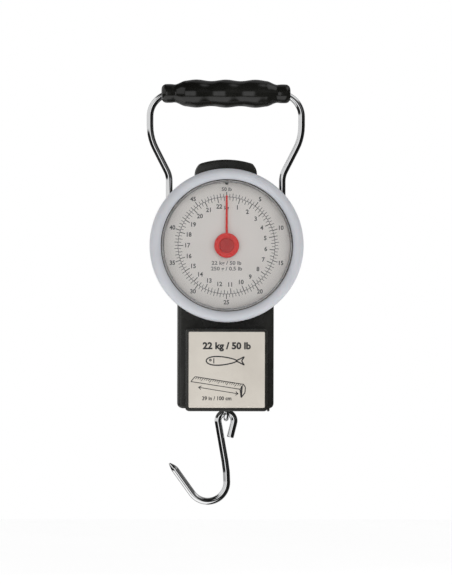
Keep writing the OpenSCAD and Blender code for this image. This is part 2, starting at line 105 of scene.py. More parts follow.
def object_noise(tree, scale, detail=3.0, stretch=(1, 1, 1)):
    """A noise texture in the object's own space, in metres."""
    coords = tree.nodes.new("ShaderNodeTexCoord")
    mapping = tree.nodes.new("ShaderNodeMapping")
    mapping.inputs["Scale"].default_value = stretch
    tex = tree.nodes.new("ShaderNodeTexNoise")
    tex.inputs["Scale"].default_value = scale
    tex.inputs["Detail"].default_value = detail
    tree.links.new(coords.outputs["Object"], mapping.inputs["Vector"])
    tree.links.new(mapping.outputs["Vector"], tex.inputs["Vector"])
    return tex.outputs["Fac"]


def spread(tree, source, lo, hi, from_lo=0.35, from_hi=0.65):
    node = tree.nodes.new("ShaderNodeMapRange")
    node.inputs["From Min"].default_value = from_lo
    node.inputs["From Max"].default_value = from_hi
    node.inputs["To Min"].default_value = lo
    node.inputs["To Max"].default_value = hi
    tree.links.new(source, node.inputs["Value"])
    return node.outputs["Result"]


def bump(tree, shader, source, strength, distance):
    node = tree.nodes.new("ShaderNodeBump")
    node.inputs["Strength"].default_value = strength
    node.inputs["Distance"].default_value = distance
    tree.links.new(source, node.inputs["Height"])
    tree.links.new(node.outputs["Normal"], shader.inputs["Normal"])


def two_tone(tree, shader, source, a, b):
    ramp = tree.nodes.new("ShaderNodeValToRGB")
    ramp.color_ramp.elements[0].position = 0.35
    ramp.color_ramp.elements[1].position = 0.65
    ramp.color_ramp.elements[0].color = (*a, 1)
    ramp.color_ramp.elements[1].color = (*b, 1)
    tree.links.new(source, ramp.inputs["Fac"])
    tree.links.new(ramp.outputs["Color"], shader.inputs["Base Color"])


def finish(name, a, b, rough, metal=0.0, grain=900.0, strength=0.1, distance=0.05 * MM,
           blotch=60.0, stretch=(1, 1, 1), **sockets):
    """A finish with two close tones in soft blotches, uneven roughness and a fine grain."""
    mat, tree, shader = material(name, a, sum(rough) / 2, metal, **sockets)
    two_tone(tree, shader, object_noise(tree, blotch, 4), a, b)
    fine = object_noise(tree, grain, 2, stretch)
    coarse = object_noise(tree, blotch * 2.3, 5)
    tree.links.new(spread(tree, coarse, *rough), shader.inputs["Roughness"])
    bump(tree, shader, fine, strength, distance)
    return mat


MATS = {
    "chrome": finish("chrome_plate", (0.80, 0.81, 0.82), (0.86, 0.86, 0.86), (0.035, 0.085), 1.0, 260, 0.03,
                     0.02 * MM),
    "grip": finish("grip_plastic", (0.007, 0.007, 0.006), (0.011, 0.011, 0.0095), (0.15, 0.20), grain=500,
                   strength=0.04, distance=0.02 * MM, Specular_IOR_Level=0.5),
    "black": finish("housing_plastic", (0.018, 0.018, 0.016), (0.025, 0.025, 0.022), (0.22, 0.31), grain=2200,
                    strength=0.15, distance=0.02 * MM, Specular_IOR_Level=0.46),
    "ring": finish("ring_plastic", (0.56, 0.568, 0.605), (0.59, 0.598, 0.635), (0.30, 0.38), grain=1800,
                   strength=0.12, distance=0.02 * MM, Subsurface_Weight=0.05),
    "face": finish("dial_card", (0.75, 0.705, 0.675), (0.79, 0.745, 0.715), (0.5, 0.62), grain=2600,
                   strength=0.08, distance=0.01 * MM, blotch=25),
    "ink": finish("dial_ink", (0.020, 0.020, 0.021), (0.04, 0.04, 0.042), (0.45, 0.6), grain=3000,
                  strength=0.1, distance=0.01 * MM, blotch=700),
    "grey_ink": finish("pale_ink", (0.06, 0.06, 0.063), (0.09, 0.09, 0.095), (0.5, 0.6), grain=3000,
                       strength=0.1, distance=0.01 * MM, blotch=700),
    "red": finish("pointer_plastic", (0.66, 0.014, 0.010), (0.72, 0.018, 0.013), (0.30, 0.40), grain=2000,
                  strength=0.12, distance=0.01 * MM, blotch=300, Specular_IOR_Level=0.22),
    "cap": finish("cap_plastic", (0.43, 0.007, 0.006), (0.49, 0.010, 0.008), (0.32, 0.42), grain=2000,
                  strength=0.12, distance=0.01 * MM, blotch=300, Specular_IOR_Level=0.22),
    "label": finish("label_card", (0.62, 0.575, 0.51), (0.68, 0.635, 0.565), (0.42, 0.56), grain=1600,
                    strength=0.18, distance=0.01 * MM, blotch=45),
    "steel": finish("zinc_steel", (0.50, 0.51, 0.53), (0.60, 0.61, 0.62), (0.22, 0.40), 1.0, 700, 0.2,
                    0.02 * MM, 120, (1, 1, 6)),
    "spring": finish("spring_wire", (0.36, 0.37, 0.39), (0.48, 0.48, 0.49), (0.2, 0.34), 1.0, 1200, 0.2,
                     0.02 * MM, 200),
    "brass": finish("brass_machined", (0.68, 0.47, 0.20), (0.76, 0.56, 0.27), (0.2, 0.34), 1.0, 900, 0.15,
                    0.02 * MM, 150, (6, 1, 1)),
    "nylon": finish("nylon_natural", (0.72, 0.70, 0.62), (0.78, 0.76, 0.69), (0.4, 0.5), grain=900,
                    strength=0.1, Subsurface_Weight=0.1),
    "spool": finish("spool_plastic", (0.035, 0.04, 0.045), (0.05, 0.055, 0.06), (0.4, 0.5), grain=1200,
                    strength=0.2),
    "key": finish("key_plastic", (0.03, 0.03, 0.03), (0.05, 0.05, 0.05), (0.35, 0.5), grain=2000),
}


def lens_material(name, rough):
    """Clear acrylic. Lamps shine through it, so that what is behind it stays lit."""
    mat, tree, shader = material(name, (0.98, 0.99, 0.99), rough[1], IOR=1.47, Transmission_Weight=1.0)
    tree.links.new(spread(tree, object_noise(tree, 60, 3), *rough), shader.inputs["Roughness"])
    path = tree.nodes.new("ShaderNodeLightPath")
    clear = tree.nodes.new("ShaderNodeBsdfTransparent")
    mix = tree.nodes.new("ShaderNodeMixShader")
    out = tree.nodes["Material Output"]
    tree.links.new(path.outputs["Is Shadow Ray"], mix.inputs["Fac"])
    tree.links.new(shader.outputs["BSDF"], mix.inputs[1])
    tree.links.new(clear.outputs["BSDF"], mix.inputs[2])
    tree.links.new(mix.outputs["Shader"], out.inputs["Surface"])
    return mat


def tape_material():
    """Yellow painted steel tape with a mark every millimetre and a longer one every ten."""
    mat, tree, shader = material("tape_paint", (0.72, 0.58, 0.16), 0.35)
    coords = tree.nodes.new("ShaderNodeTexCoord")
    parts = tree.nodes.new("ShaderNodeSeparateXYZ")
    tree.links.new(coords.outputs["Object"], parts.inputs["Vector"])

    def math_node(kind, a, b):
        node = tree.nodes.new("ShaderNodeMath")
        node.operation = kind
        for i, v in enumerate((a, b)):
            if isinstance(v, (int, float)):
                node.inputs[i].default_value = v
            else:
                tree.links.new(v, node.inputs[i])
        return node.outputs[0]

    def marks(step, width, reach):
        along = math_node("FRACT", math_node("DIVIDE", math_node("ADD", parts.outputs["X"], 1.0), step), 0)
        line = math_node("LESS_THAN", along, width / step)
        return math_node("MULTIPLY", line, math_node("LESS_THAN", parts.outputs["Y"], reach))

    edge = low("tape_blade").y
    every_mm = marks(1 * MM, 0.18 * MM, edge + 2 * MM)
    every_cm = marks(10 * MM, 0.3 * MM, edge + 4 * MM)
    both = math_node("MAXIMUM", every_mm, every_cm)
    mix = tree.nodes.new("ShaderNodeMix")
    mix.data_type = "RGBA"
    mix.inputs["A"].default_value = (0.76, 0.62, 0.17, 1)
    mix.inputs["B"].default_value = (0.02, 0.02, 0.02, 1)
    tree.links.new(both, mix.inputs["Factor"])
    tree.links.new(mix.outputs["Result"], shader.inputs["Base Color"])
    bump(tree, shader, object_noise(tree, 900), 0.1, 0.02 * MM)
    return mat


MATS["lens"] = lens_material("lens_acrylic", (0.0, 0.03))
MATS["bevel"] = lens_material("lens_ground_bevel", (0.22, 0.34))
MATS["tape"] = tape_material()

# ---------------------------------------------------------------- mesh helpers


def place(name, mesh, mat, body, slot, *nodes, sharp=35):
    """Puts a mesh in the scene as a piece that rides on a body and stands for CAD nodes."""
    obj = bpy.data.objects.new(name, mesh)
    bpy.context.scene.collection.objects.link(obj)
    if mat:
        mesh.materials.clear()
        mesh.materials.append(MATS[mat])
    mesh.polygons.foreach_set("use_smooth", [True] * len(mesh.polygons))
    mesh.set_sharp_from_angle(angle=math.radians(sharp))
    if body:
        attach(obj, body)
    if nodes:
        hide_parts(*nodes)
    return obj


def to_mesh(name, bm):
    bmesh.ops.remove_doubles(bm, verts=bm.verts, dist=1e-7)
    bmesh.ops.recalc_face_normals(bm, faces=bm.faces)
    mesh = bpy.data.meshes.new(name)
    bm.to_mesh(mesh)
    bm.free()
    return mesh


def loft(bm, rings, closed=False):
    """Joins rings of points into a skin. The two ends are capped unless the loft closes on itself."""
    made = [[bm.verts.new(p) for p in ring] for ring in rings]
    pairs = list(zip(made, made[1:]))
    if closed:
        pairs.append((made[-1], made[0]))
    for a, b in pairs:
        for i in range(len(a)):
            j = (i + 1) % len(a)
            bm.faces.new((a[i], a[j], b[j], b[i]))
    if not closed:
        bm.faces.new(made[0])
        bm.faces.new(list(reversed(made[-1])))


def loft_mesh(name, rings, closed=False):
    bm = bmesh.new()
    loft(bm, rings, closed)
    return to_mesh(name, bm)


def arc(cx, cy, r, start, end, steps):
    """Points on an arc, angles in degrees, both ends included."""
    angles = [math.radians(start + (end - start) * k / steps) for k in range(steps + 1)]
    return [(cx + r * math.cos(a), cy + r * math.sin(a)) for a in angles]


def lathe(bm, profile, x=0.0, z=DIAL_Z, steps=160):
    """Turns a closed profile of radius and depth to the front about an axis along Y."""
    ring = []
    for k in range(steps):
        a = 2 * math.pi * k / steps
        ring.append([(x + r * math.cos(a), -f, z + r * math.sin(a)) for r, f in profile])
    loft(bm, ring, closed=True)


def lathe_mesh(name, profile, x=0.0, z=DIAL_Z, steps=160):
    bm = bmesh.new()
    lathe(bm, profile, x, z, steps)
    bmesh.ops.dissolve_degenerate(bm, edges=bm.edges, dist=1e-7)
    return to_mesh(name, bm)


def path(start, heading, steps, bend_step=5.0):
    """Points along a wire in the X-Z plane, in mm. Heading is in degrees from up towards the right.
    A step is (length, 0) for a straight or (angle, radius) for a bend, clockwise when positive."""
    x, z = start
    points = [(x, z)]
    for size, r in steps:
        a = math.radians(heading)
        if r == 0:
            x, z = x + size * math.sin(a), z + size * math.cos(a)
            points.append((x, z))
            continue
        side = 1 if size > 0 else -1
        cx, cz = x + side * r * math.cos(a), z - side * r * math.sin(a)
        count = max(2, int(abs(size) / bend_step))
        for k in range(1, count + 1):
            b = math.radians(heading + size * k / count)
            points.append((cx - side * r * math.cos(b), cz + side * r * math.sin(b)))
        x, z = points[-1]
        heading += size
    return points


def resample(points, step):
    """Spaces the points of a path evenly, so that a swept wire has even quads."""
    out = [Vector(points[0])]
    for a, b in zip(points, points[1:]):
        a, b = Vector(a), Vector(b)
        count = max(1, round((b - a).length / step))
        out += [a.lerp(b, k / count) for k in range(1, count + 1)]
    return out


def sweep(name, points, radius, sides=28, ends=(0.35, 0.35)):
    """A round wire along points in the X-Z plane, in mm, with ends rounded by a share of its radius."""
    points = [Vector(p) for p in points]
    dirs = [(b - a).normalized() for a, b in zip(points, points[1:])]
    tangents = [dirs[0]] + [(a + b).normalized() for a, b in zip(dirs, dirs[1:])] + [dirs[-1]]
    spots = [(p, t, radius) for p, t in zip(points, tangents)]

    def rounding(p, t, share, sign):
        cut = share * radius
        turned = []
        for k in range(1, 5):
            a = math.radians(90 * k / 4)
            turned.append((p + t * sign * cut * (math.sin(a) - 1), t, radius - cut * (1 - math.cos(a))))
        return turned

    def trimmed(p, t, share, sign):
        return (p - t * sign * share * radius, t, radius)

    first, last = spots[0], spots[-1]
    spots[0] = trimmed(first[0], first[1], ends[0], -1)
    spots[-1] = trimmed(last[0], last[1], ends[1], 1)
    head = list(reversed(rounding(first[0], first[1], ends[0], -1))) if ends[0] else []
    tail = rounding(last[0], last[1], ends[1], 1) if ends[1] else []
    rings = []
    for p, t, r in head + spots + tail:
        side = Vector((t.y, -t.x))
        ring = []
        for k in range(sides):
            a = 2 * math.pi * k / sides
            q = p + side * r * math.cos(a)
            ring.append((q.x * MM, r * math.sin(a) * MM, q.y * MM))
        rings.append(ring)
    return loft_mesh(name, rings)


def inset(points, d):
    """Moves a closed counter-clockwise outline inwards by d, with mitred corners."""
    out = []
    count = len(points)
    for i in range(count):
        p, q, r = Vector(points[i - 1]), Vector(points[i]), Vector(points[(i + 1) % count])
        a, b = (q - p).normalized(), (r - q).normalized()
        na, nb = Vector((-a.y, a.x)), Vector((-b.y, b.x))
        m = (na + nb).normalized()
        out.append(q + m * (d / max(0.3, m.dot(na))))
    return out


def round_rect(x0, z0, x1, z1, r, steps=8):
    return (arc(x1 - r, z0 + r, r, -90, 0, steps) + arc(x1 - r, z1 - r, r, 0, 90, steps)
            + arc(x0 + r, z1 - r, r, 90, 180, steps) + arc(x0 + r, z0 + r, r, 180, 270, steps))


def layered(outline, layers):
    """Rings of an outline in mm at (inset, y) layers."""
    rings = []
    for d, y in layers:
        pts = inset(outline, d) if d else [Vector(p) for p in outline]
        rings.append([(p.x * MM, y * MM, p.y * MM) for p in pts])
    return rings


def fillet(d0, y0, r, toward, steps=6):
    """Layers that round an edge: from the side wall at inset d0 to the face at y0."""
    out = []
    for k in range(steps + 1):
        a = math.radians(90 * k / steps)
        out.append((d0 + r * (1 - math.cos(a)), y0 - toward * r * (1 - math.sin(a))))
    return out


def boolean(mesh_a, mesh_b, kind):
    """The two meshes joined, cut or intersected, as a new mesh."""
    scene = bpy.context.scene
    a = bpy.data.objects.new("a", mesh_a)
    b = bpy.data.objects.new("b", mesh_b)
    for o in (a, b):
        scene.collection.objects.link(o)
    mod = a.modifiers.new("cut", "BOOLEAN")
    mod.operation = kind
    mod.object = b
    mod.solver = "EXACT"
    bpy.context.view_layer.update()
    done = bpy.data.meshes.new_from_object(a.evaluated_get(bpy.context.evaluated_depsgraph_get()))
    done.name = mesh_a.name + "_cut"
    for o in (a, b):
        bpy.data.objects.remove(o)
    return done


def rod_mesh(name, p, q, r, sides=32):
    """A plain cylinder between two points, in mm, for cutting holes."""
    p, q = Vector(p), Vector(q)
    turn = (q - p).to_track_quat("Z", "Y")
    rings = []
    for end in (p, q):
        ring = [end + turn @ Vector((r * math.cos(a), r * math.sin(a), 0))
                for a in (2 * math.pi * k / sides for k in range(sides))]
        rings.append([tuple(v * MM) for v in ring])
    return loft_mesh(name, rings)


def box_mesh(name, lo, hi):
    outline = [(lo[0], lo[2]), (hi[0], lo[2]), (hi[0], hi[2]), (lo[0], hi[2])]
    return loft_mesh(name, layered(outline, [(0, lo[1]), (0, hi[1])]))


DC = DIAL_Z / MM                       # height of the dial's middle, in mm


# ---------------------------------------------------------------- handle

PIVOT_Z = DC + 14
CLIP_X = (high("handle_clips").x / MM) - 1
LEG_X = 33.94
END_X = CLIP_X + 0.5 - 1.8


def handle_points():
    """Half of the bent handle wire, from the middle of the grip to its end in the chassis."""
    top_r = 13.8
    outer_r = 30
    inner_r = 14
    end_r = 4
    below_top = 5.5
    slope = 15
    lean_deg = 27
    lean = math.radians(lean_deg)
    bend_x = LEG_X + (outer_r + inner_r) * (1 - math.cos(lean)) + slope * math.sin(lean) - top_r
    drop = top_r + below_top + (outer_r + inner_r) * math.sin(lean) + slope * math.cos(lean)
    steps = [(bend_x, 0), (90, top_r), (below_top, 0), (lean_deg, outer_r), (slope, 0),
             (-lean_deg, inner_r), (-drop - PIVOT_Z - end_r, 0), (90, end_r), (LEG_X - end_r - END_X, 0)]
    return path((0, 0), 90, steps)


def build_handle_wire():
    half = handle_points()
    whole = [(-x, z) for x, z in reversed(half[1:])] + half
    points = resample(whole, 1.5)
    place("bent_handle_wire", sweep("bent_handle_wire", points, WIRE_R / MM), "chrome", "handle", "chrome",
          "handle_wire")
    return sweep("wire_cutter", points, WIRE_R / MM + 0.02, 32, (0, 0))


GRIP_HALF = high("grip_front").x / MM
GRIP_CREST = high("grip_front").z / MM
GRIP_VALLEY = GRIP_CREST - 0.9
FINGER = 17.7
NECK_X = 31.0


def grip_radius(x):
    """Radius of the grip at a distance from its middle: three swells, a neck, a bead and round ends."""
    x = abs(x)
    fall = 1.35 * FINGER

    def swell(t):
        return GRIP_VALLEY + (GRIP_CREST - GRIP_VALLEY) * (1 + math.cos(2 * math.pi * t / FINGER)) / 2

    if x < fall:
        return swell(x)
    if x < NECK_X:
        t = (x - fall) / (NECK_X - fall)
        s = t * t * (3 - 2 * t)
        return swell(fall) * (1 - s) + 5.4 * s
    bead = 5.4 + 0.25 * math.sin(math.pi / 2 * min(1, (x - NECK_X) / 2.6))
    left = GRIP_HALF - x
    if left >= 3:
        return bead
    return bead - 3 + math.sqrt(max(0.0, 9 - (3 - left) ** 2))


def build_grip(cutter):
    """Two moulded halves with a fine parting line on the top and bottom of the grip."""
    stations = [k * 0.75 for k in range(int((GRIP_HALF - 3) / 0.75) + 1)]
    stations += [GRIP_HALF - 3 + 3 * math.sin(math.radians(a)) for a in range(10, 91, 10)]
    stations = [-x for x in reversed(stations[1:])] + stations
    seam = 0.10
    for name, node, side in (("grip_half_front", "grip_front", -1), ("grip_half_rear", "grip_rear", 1)):
        rings = []
        for x in stations:
            r = max(0.05, grip_radius(x))
            ring = [(x * MM, 0.0, (r - seam) * MM)]
            for k in range(25):
                a = math.radians(90 - 180 * k / 24)
                y = max(seam * 0.5, r * math.cos(a))
                ring.append((x * MM, side * y * MM, r * math.sin(a) * MM))
            ring.append((x * MM, 0.0, -(r - seam) * MM))
            rings.append(ring)
        mesh = boolean(loft_mesh(name, rings), cutter.copy(), "DIFFERENCE")
        place(name, mesh, "grip", "handle", "grip_black", node, sharp=50)


# ---------------------------------------------------------------- housing

HALF_W = high("rear_housing").x / MM
BOTTOM = low("rear_housing").z / MM
TOP = high("rear_housing").z / MM
BACK = high("rear_housing").y / MM
WALL = 1.8
SHOULDER = DC + 34
CROWN_W = 18.5
CROWN_R = TOP - DC
SCREW_X = HALF_W - WALL - 2.8
SCREWS = [(0, 46), (-SCREW_X, -40), (SCREW_X, -40), (-13, -91.5), (13, -91.5)]
CASE_SCREWS = [(-21.5, -53.5), (21.5, -53.5), (-21.5, -92), (21.5, -92)]


def housing_outline():
    """Counter-clockwise outline of the housing, in mm: straight sides, shoulders and a domed crown."""
    corner = 3.0
    crown_corner = 9.0
    right = arc(HALF_W - corner, BOTTOM + corner, corner, -90, 0, 8)
    right += arc(HALF_W - corner, SHOULDER - corner, corner, 0, 90, 8)
    right += list(reversed(arc(CROWN_W + 1.5, SHOULDER + 1.5, 1.5, 180, 270, 5)))
    side = CROWN_W - crown_corner
    dome = []
    for x, z in arc(side, TOP - crown_corner, crown_corner, 0, 90, 14):
        lean = math.hypot(x, z - DC)
        over = CROWN_R / lean if lean > CROWN_R else 1
        dome.append((x * over, DC + (z - DC) * over))
    dome += [(x, DC + math.sqrt(CROWN_R ** 2 - x * x)) for x in (7.5, 5, 2.5, 0)]
    right += dome
    left = [(-x, z) for x, z in reversed(right[:-1])]
    return right + left


def cut_all(mesh, cutters):
    for cutter in cutters:
        mesh = boolean(mesh, cutter, "DIFFERENCE")
    return mesh


def rod_slot():
    x = LOAD_X / MM
    return box_mesh("slot", (x - 1.9, -6.2, BOTTOM - 1), (x + 1.9, 6.2, BOTTOM + 4))


def build_rear_housing():
    layers = [(WALL, 6.6), (WALL, SPLIT / MM), (0.25, SPLIT / MM), (0, SPLIT / MM + 0.25)]
    layers += [(d, y) for d, y in fillet(0, BACK, 1.6, 1)]
    mesh = loft_mesh("rear_shell", layered(housing_outline(), layers))
    for x, z in SCREWS:
        mesh = boolean(mesh, rod_mesh("boss", (x, 7.2, DC + z), (x, SPLIT / MM, DC + z), 3.0), "UNION")
    cutters = [rod_mesh("recess", (x, BACK + 1, DC + z), (x, BACK - 2.1, DC + z), 2.9) for x, z in SCREWS]
    cutters += [rod_mesh("hole", (x, BACK, DC + z), (x, SPLIT / MM - 1, DC + z), 1.6) for x, z in SCREWS]
    cutters += [rod_mesh("pivot", (-HALF_W - 1, 0, PIVOT_Z), (HALF_W + 1, 0, PIVOT_Z), 2.3), rod_slot()]
    place("rear_shell", cut_all(mesh, cutters), "black", "housing", "housing_black", "rear_housing")


def build_front_housing():
    front = PLATE_Y / MM
    layers = [(WALL, -6.0), (WALL, SPLIT / MM), (0.25, SPLIT / MM), (0, SPLIT / MM - 0.25)]
    layers += [(d, y) for d, y in fillet(0, front, 1.5, -1)]
    mesh = loft_mesh("front_shell", layered(housing_outline(), layers))
    drum = RING_R / MM - 1.5
    neck = drum - 0.9
    profile = [(0.0, 6.0), (neck - 1.8, 6.0), (neck - 1.8, 3.2), (drum - 0.3, 3.2), (drum, 3.5), (drum, 8.0),
               (neck, 8.0), (neck, 9.3), (drum, 9.3), (drum, 10.2), (drum - 0.2, 10.4), (drum - 2.2, 10.4),
               (drum - 2.2, 8.0), (0.0, 8.0)]
    disc = lathe_mesh("drum", [(r * MM, f * MM) for r, f in profile])
    mesh = boolean(mesh, disc, "UNION")
    inside = loft_mesh("inside", layered(housing_outline(), [(WALL, SPLIT / MM + 1), (WALL, -6.0)]))
    mesh = boolean(mesh, inside, "DIFFERENCE")
    for x, z in SCREWS:
        mesh = boolean(mesh, rod_mesh("boss", (x, SPLIT / MM, DC + z), (x, -6.5, DC + z), 2.6), "UNION")
    cutters = [rod_mesh("arbor", (0, -5, DC), (0, -9, DC), 2.6), rod_slot()]
    cutters += [rod_mesh("pilot", (x, SPLIT / MM + 1, DC + z), (x, -6, DC + z), 1.22) for x, z in SCREWS]
    cutters += [rod_mesh("case_hole", (x, -5, DC + z), (x, -9, DC + z), 1.25) for x, z in CASE_SCREWS]
    place("front_shell", cut_all(mesh, cutters), "black", "housing", "housing_black", "front_housing")


# ---------------------------------------------------------------- dial

TICK_R = 29.2 * MM
SCALE_KG = 22.68                       # kilograms in a full turn
SCALE_LB = 50
PRINT = 0.02 * MM


def build_ring():
    """Dial ring: a rounded crown, a straight outer wall and a snap lip in the drum's groove."""
    r = RING_R
    window = 39.3 * MM
    half = (r - window) / 2
    crown = RING_FRONT - half
    pane = 18 * MM
    last = math.pi - math.asin((pane - crown) / half)
    outer = [(half * math.cos(a) + window + half, crown + half * math.sin(a))
             for a in (last * k / 28 for k in range(29))]
    lip = window + 1.7 * MM
    back = 8.3 * MM
    groove = 9.0 * MM
    profile = [(r - 2.1 * MM, back), (r - 0.8 * MM, back)]
    profile += arc(r - 0.8 * MM, back + 0.8 * MM, 0.8 * MM, -90, 0, 4)[1:]
    profile += outer + [(lip, pane), (lip, 10.8 * MM), (r - 1.45 * MM, 10.8 * MM),
                        (r - 1.45 * MM, groove), (r - 2.1 * MM, groove)]
    place("ring_moulding", lathe_mesh("ring_moulding", profile, steps=192), "ring", "tare_ring", "ring_grey",
          "dial_ring")


def build_lens():
    """Clear cup: a pane in a raised rim, and a skirt down to the dial. The bevel inside the rim is
    the same clear acrylic, with a finely ground face."""
    r = 40.85 * MM
    top = 17.9 * MM
    seat = 16.95 * MM
    outside = [(r, top - 0.3 * MM), (r - 0.3 * MM, top), (r - 1.9 * MM, top), (r - 2.1 * MM, top - 0.1 * MM),
               (r - 2.15 * MM, seat), (r - 3.2 * MM, seat), (r * 0.6, 17.2 * MM), (0.0, 17.3 * MM)]
    inside = [(0.0, 15.9 * MM), (r * 0.6, 15.8 * MM), (r - 3.2 * MM, 15.5 * MM), (r - 1.6 * MM, 14.8 * MM),
              (r - 1.1 * MM, 13.8 * MM), (r - 1.1 * MM, FACE), (r, FACE)]
    place("lens_cup", lathe_mesh("lens_cup", inside + outside, steps=192), "lens", "tare_ring", "lens_clear",
          "dial_lens", sharp=30)
    edge = r - 2.18 * MM
    width = 0.95 * MM
    foot = seat + 0.02 * MM
    bevel = [(edge, foot), (edge, top - 0.12 * MM), (edge - 0.1 * MM, top - 0.1 * MM),
             (edge - width, foot + 0.05 * MM), (edge - width, foot)]
    place("lens_bevel", lathe_mesh("lens_bevel", bevel, steps=192), "bevel", "tare_ring", "lens_clear",
          sharp=20)


def build_dial_plate():
    profile = [(2.6 * MM, FACE - 0.8 * MM), (PLATE_R - 0.1 * MM, FACE - 0.8 * MM), (PLATE_R, FACE - 0.7 * MM),
               (PLATE_R, FACE - 0.1 * MM), (PLATE_R - 0.1 * MM, FACE), (2.6 * MM, FACE)]
    place("dial_card", lathe_mesh("dial_card", profile, steps=192), "face", "tare_ring", "dial_face",
          "dial_plate")
    tip = arc(0, 0, 1.0 * MM, 180, 360, 14)
    centre = PLATE_R - 3.2 * MM
    outline = [(x, DIAL_Z + centre + z) for x, z in tip] + [(1.0 * MM, DIAL_Z + centre + 0.2 * MM),
                                                            (-1.0 * MM, DIAL_Z + centre + 0.2 * MM)]
    rings = [[(x, -f, z) for x, z in outline] for f in (FACE, FACE + 0.4 * MM)]
    place("ring_key", loft_mesh("ring_key", rings), "key", "tare_ring", "key_grey", "dial_key")


def bar(bm, p, q, width, front, thick=PRINT):
    """A flat printed line between two points of the X-Z plane, standing on a face."""
    p, q = Vector(p), Vector(q)
    t = (q - p).normalized()
    n = Vector((-t.y, t.x)) * width / 2
    ring = [p - n, q - n, q + n, p + n]
    loft(bm, [[(v.x, -front - h, v.y) for v in ring] for h in (0, thick)])


def hoop(bm, x, z, r, width, front, steps=180):
    profile = [(r - width / 2, front), (r + width / 2, front), (r + width / 2, front + PRINT),
               (r - width / 2, front + PRINT)]
    lathe(bm, profile, x, z, steps)


def print_text(bm, words, size, x, z, front, weight=0.0, stretch=1.0):
    """Adds printed words, centred on a place, to a mesh."""
    curve = bpy.data.curves.new("words", "FONT")
    curve.body = words
    curve.size = size
    curve.offset = weight
    curve.extrude = PRINT / 2
    curve.align_x = "CENTER"
    curve.align_y = "CENTER"
    curve.resolution_u = 3
    obj = bpy.data.objects.new("words", curve)
    bpy.context.scene.collection.objects.link(obj)
    mesh = bpy.data.meshes.new_from_object(obj.evaluated_get(bpy.context.evaluated_depsgraph_get()))
    turn = Matrix(((stretch, 0, 0, x), (0, 0, -1, -front - PRINT / 2), (0, 1, 0, z), (0, 0, 0, 1)))
    mesh.transform(turn)
    bm.from_mesh(mesh)
    bpy.data.objects.remove(obj)
    bpy.data.meshes.remove(mesh)


def polar(r, share):
    """A point on the dial at a radius and a share of a full clockwise turn from the top."""
    a = 2 * math.pi * share
    return (r * math.sin(a), DIAL_Z + r * math.cos(a))


def build_dial_print():
    bm = bmesh.new()
    hoop(bm, 0, DIAL_Z, TICK_R, 0.28 * MM, FACE)
    for k in range(2 * SCALE_LB):
        length, width = (3.1, 0.48) if k % 10 == 0 else (2.3, 0.36) if k % 2 == 0 else (1.9, 0.30)
        share = k / (2 * SCALE_LB)
        bar(bm, polar(TICK_R, share), polar(TICK_R + length * MM, share), width * MM, FACE)
    for k in range(int(SCALE_KG * 4) + 1):
        length, width = (3.3, 0.48) if k % 4 == 0 else (2.4, 0.36) if k % 2 == 0 else (1.9, 0.30)
        share = k / 4 / SCALE_KG
        bar(bm, polar(TICK_R, share), polar(TICK_R - length * MM, share), width * MM, FACE)
    for pounds in range(5, SCALE_LB, 5):
        x, z = polar(34.4 * MM, pounds / SCALE_LB)
        print_text(bm, str(pounds), 3.6 * MM, x, z, FACE, 0.10 * MM, 0.97)
    for kilos in range(1, 23):
        x, z = polar(23.6 * MM, kilos / SCALE_KG)
        print_text(bm, str(kilos), 3.6 * MM, x, z, FACE, 0.10 * MM, 0.97)
    print_text(bm, "kg", 3.1 * MM, 0, DIAL_Z + 22.4 * MM, FACE, 0.06 * MM)
    place("dial_print", to_mesh("dial_print", bm), "ink", "tare_ring", "dial_face")
    pale = bmesh.new()
    print_text(pale, "50 lb", 3.1 * MM, 0, DIAL_Z + 33.8 * MM, FACE, 0.06 * MM)
    print_text(pale, "22 kg / 50 lb", 3.1 * MM, 0, DIAL_Z - 10.6 * MM, FACE, 0.06 * MM, 1.15)
    print_text(pale, "250 g / 0.5 lb", 3.1 * MM, 0, DIAL_Z - 14.0 * MM, FACE, 0.06 * MM, 1.15)
    place("dial_small_print", to_mesh("dial_small_print", pale), "grey_ink", "tare_ring", "dial_face")


def build_pointer():
    hub = 7.45 * MM
    back = 12.8 * MM
    profile = [(1.02 * MM, 12.5 * MM), (2.6 * MM, 12.5 * MM), (2.6 * MM, back), (hub - 0.15 * MM, back),
               (hub, back + 0.15 * MM)]
    profile += arc(hub - 0.6 * MM, 13.9 * MM, 0.6 * MM, 0, 90, 6)
    profile += [(4.9 * MM, 14.55 * MM), (4.4 * MM, 14.3 * MM), (4.37 * MM, 14.0 * MM), (1.02 * MM, 14.0 * MM)]
    hub_mesh = lathe_mesh("hub", profile, steps=96)
    length = 30.1 * MM
    outline = [(-0.7 * MM, 0), (0.7 * MM, 0), (0.5 * MM, length - 0.4 * MM)]
    outline += [(x, length - 0.4 * MM + z) for x, z in arc(0, 0, 0.5 * MM, 0, 180, 8)][1:]
    outline = [(x, DIAL_Z + z + 4.6 * MM * (z < 0.001)) for x, z in outline]
    rings = [[(x, -f, z) for x, z in outline] for f in (12.82 * MM, 13.5 * MM)]
    mesh = boolean(hub_mesh, loft_mesh("needle", rings), "UNION")
    place("needle_and_hub", mesh, "red", "pointer", "pointer_red", "pointer_hand")
    cap = [(0.0, 14.0 * MM), (4.35 * MM, 14.0 * MM), (4.35 * MM, 14.6 * MM)]
    cap += arc(3.75 * MM, 14.6 * MM, 0.6 * MM, 0, 90, 5)[1:] + [(0.0, 15.3 * MM)]
    place("hub_button", lathe_mesh("hub_button", cap, steps=64), "cap", "pointer", "hub_red", "hub_cap")


# ---------------------------------------------------------------- tape measure

